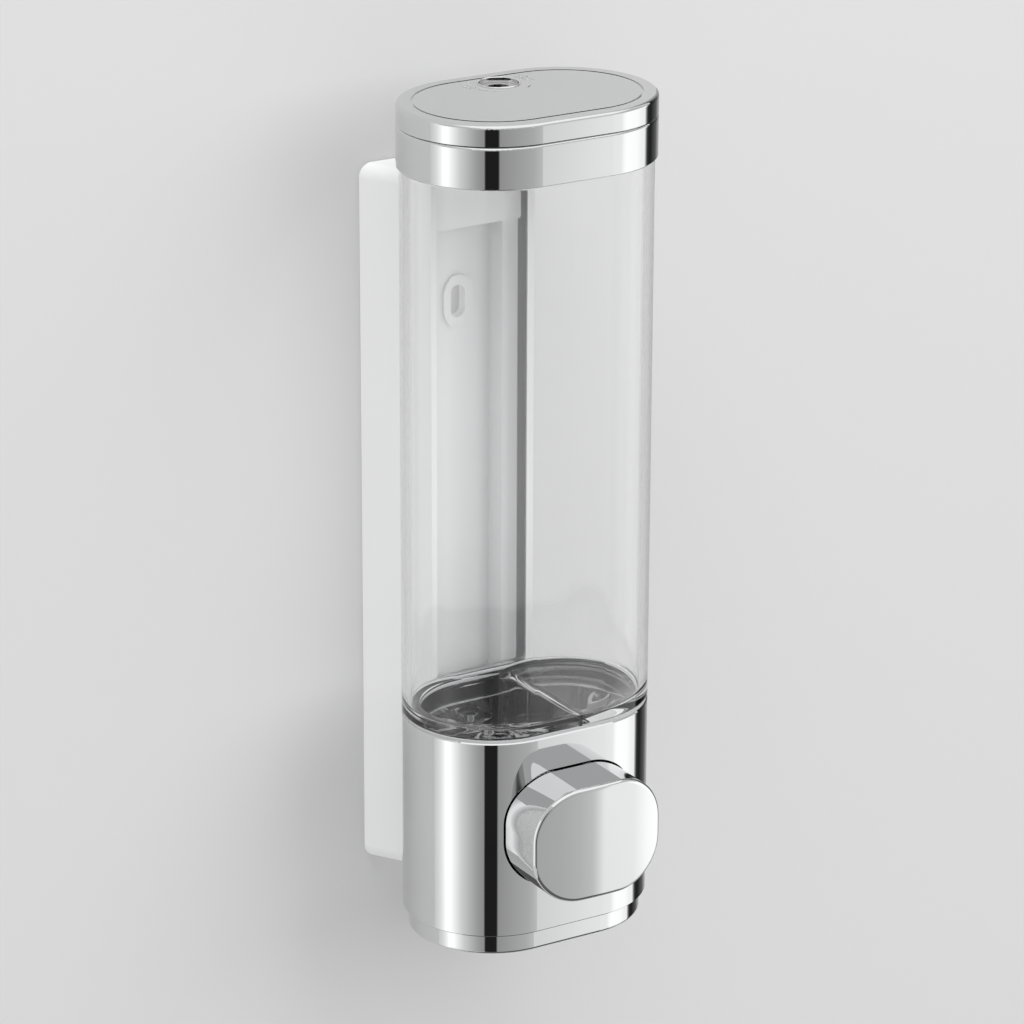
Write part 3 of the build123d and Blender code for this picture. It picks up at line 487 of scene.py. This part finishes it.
def addTank(s):
    top, spigotFoot = heightOf(tankBox[1].z), heightOf(tankBox[0].z)
    rampTilt = -s["rampDrop"] / (halfWidth - s["wellInset"] + s["wellRight"])
    rampMid = s["floor"] - s["rampDrop"] + rampTilt * -s["wellRight"]
    floorTilt = (0, s["wellSlope"])
    spigotTop = s["wellFloor"] + s["wellSlope"] * s["spigotY"]
    profile = [
        (ovalRing(0, s["foot"]), 1.0),
        (ovalRing(0, s["neckFoot"]), 0.3),
        (ovalRing(s["neckInset"], s["neckFoot"]), 0.3),
        (ovalRing(s["neckInset"], top), 0.5),
        (ovalRing(s["wall"], top), 0.5),
        (ovalRing(s["wall"], s["floor"]), 2.2),
        (wellRing(s, 0, rampMid, (rampTilt, 0)), 1.0),
        (wellRing(s, 0, s["wellFloor"], floorTilt), 1.2),
        (circleRing(s["spigotBore"], s["spigotY"], spigotTop), 0.4),
        (circleRing(s["spigotBore"], s["spigotY"], spigotFoot), 0.3),
        (circleRing(s["spigotR"], s["spigotY"], spigotFoot), 0.5),
        (circleRing(s["spigotR"], s["spigotY"], spigotTop - s["floorThick"]), 0.5),
        (wellRing(s, s["wellWall"], s["wellFloor"] - s["floorThick"], floorTilt), 1.5),
        (wellRing(s, s["wellWall"], s["foot"] - 1.6), 0.8),
        (ovalRing(s["skirtIn"] + 0.3, s["foot"] - 1.0), 0.6),
        (ovalRing(s["skirtIn"], s["skirtFoot"]), 0.3),
        (ovalRing(s["skirtOut"], s["skirtFoot"]), 0.3),
        (ovalRing(s["skirtOut"], s["foot"]), 0.4),
    ]
    rows = easedRows([row for row, ease in profile], [ease for row, ease in profile], 7)
    points = stackPoints(rows, 33)
    faces = gridFaces(points.shape[0], points.shape[1], True, True)
    piece = evenNormals(addMesh("tank_shell", upright(points), faces))
    piece.visible_shadow = False
    piece.visible_diffuse = False
    return piece


tank = addTank(tankShape)
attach(tank, "dispenser")
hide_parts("tank")
dress(tank, "clear_plastic")
print("tank made:", len(tank.data.polygons), "faces")

# Marks on the lid

markShape = {"dotR": 0.42, "arcR": 9.0, "arcHalfWidth": 0.22, "proud": 0.16, "sunk": 0.05,
             "dotAngles": (-6, 4, 14, 24, 156, 166, 176, 186), "dotRadii": (8.6, 10.4),
             "arcSpan": (-62, -22)}
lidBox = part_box("lid")
lockY = (lockCentre[1] - centreY) / mm


def markBar(s, radius, start, end, half, steps):
    # Point (turn, side): radius + side, the turn running from start to end, with the ends squared off and
    # the top narrower than the foot by a quarter.
    turn = np.radians(np.linspace(start, end, steps))[:, None]
    offset = np.array([-half, -0.75 * half, 0.75 * half, half])[None, :]
    height = heightOf(lidBox[1].z) + np.array([-s["sunk"], s["proud"], s["proud"], -s["sunk"]])[None, :]
    x, y = (radius + offset) * np.cos(turn), lockY + (radius + offset) * np.sin(turn)
    return np.stack(np.broadcast_arrays(x, y, height), -1)


def addMarks(s):
    bars = [markBar(s, s["arcR"], start, end, s["arcHalfWidth"], 17)
            for start, end in (s["arcSpan"], (180 - s["arcSpan"][1], 180 - s["arcSpan"][0]))]
    for angle in s["dotAngles"]:
        for radius in s["dotRadii"]:
            wide = math.degrees(s["dotR"] / radius)
            bars.append(markBar(s, radius, angle - wide, angle + wide, s["dotR"], 3))
    points, faces, first = [], [], 0
    for bar in bars:
        count = bar.shape[0]
        side = gridFaces(count, 4, False, True)[:, ::-1]
        ends = np.array([[0, 3, 2, 1], [4 * count - 4, 4 * count - 3, 4 * count - 2, 4 * count - 1]])[:, ::-1]
        faces.append(np.concatenate([side, ends]) + first)
        points.append(bar.reshape(-1, 3))
        first += 4 * count
    marks = addMesh("lid_marks", upright(np.concatenate(points)), np.concatenate(faces), 1e-7)
    work = bmesh.new()
    work.from_mesh(marks.data)
    bmesh.ops.recalc_face_normals(work, faces=work.faces)
    work.to_mesh(marks.data)
    work.free()
    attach(marks, "lid")
    dress(marks, "chrome_plate")


addMarks(markShape)
print("lid marks made")

for name, node in frame["nodes"].items():
    dress(node, slotOf[name])
print("finishes given to the carried-over nodes")
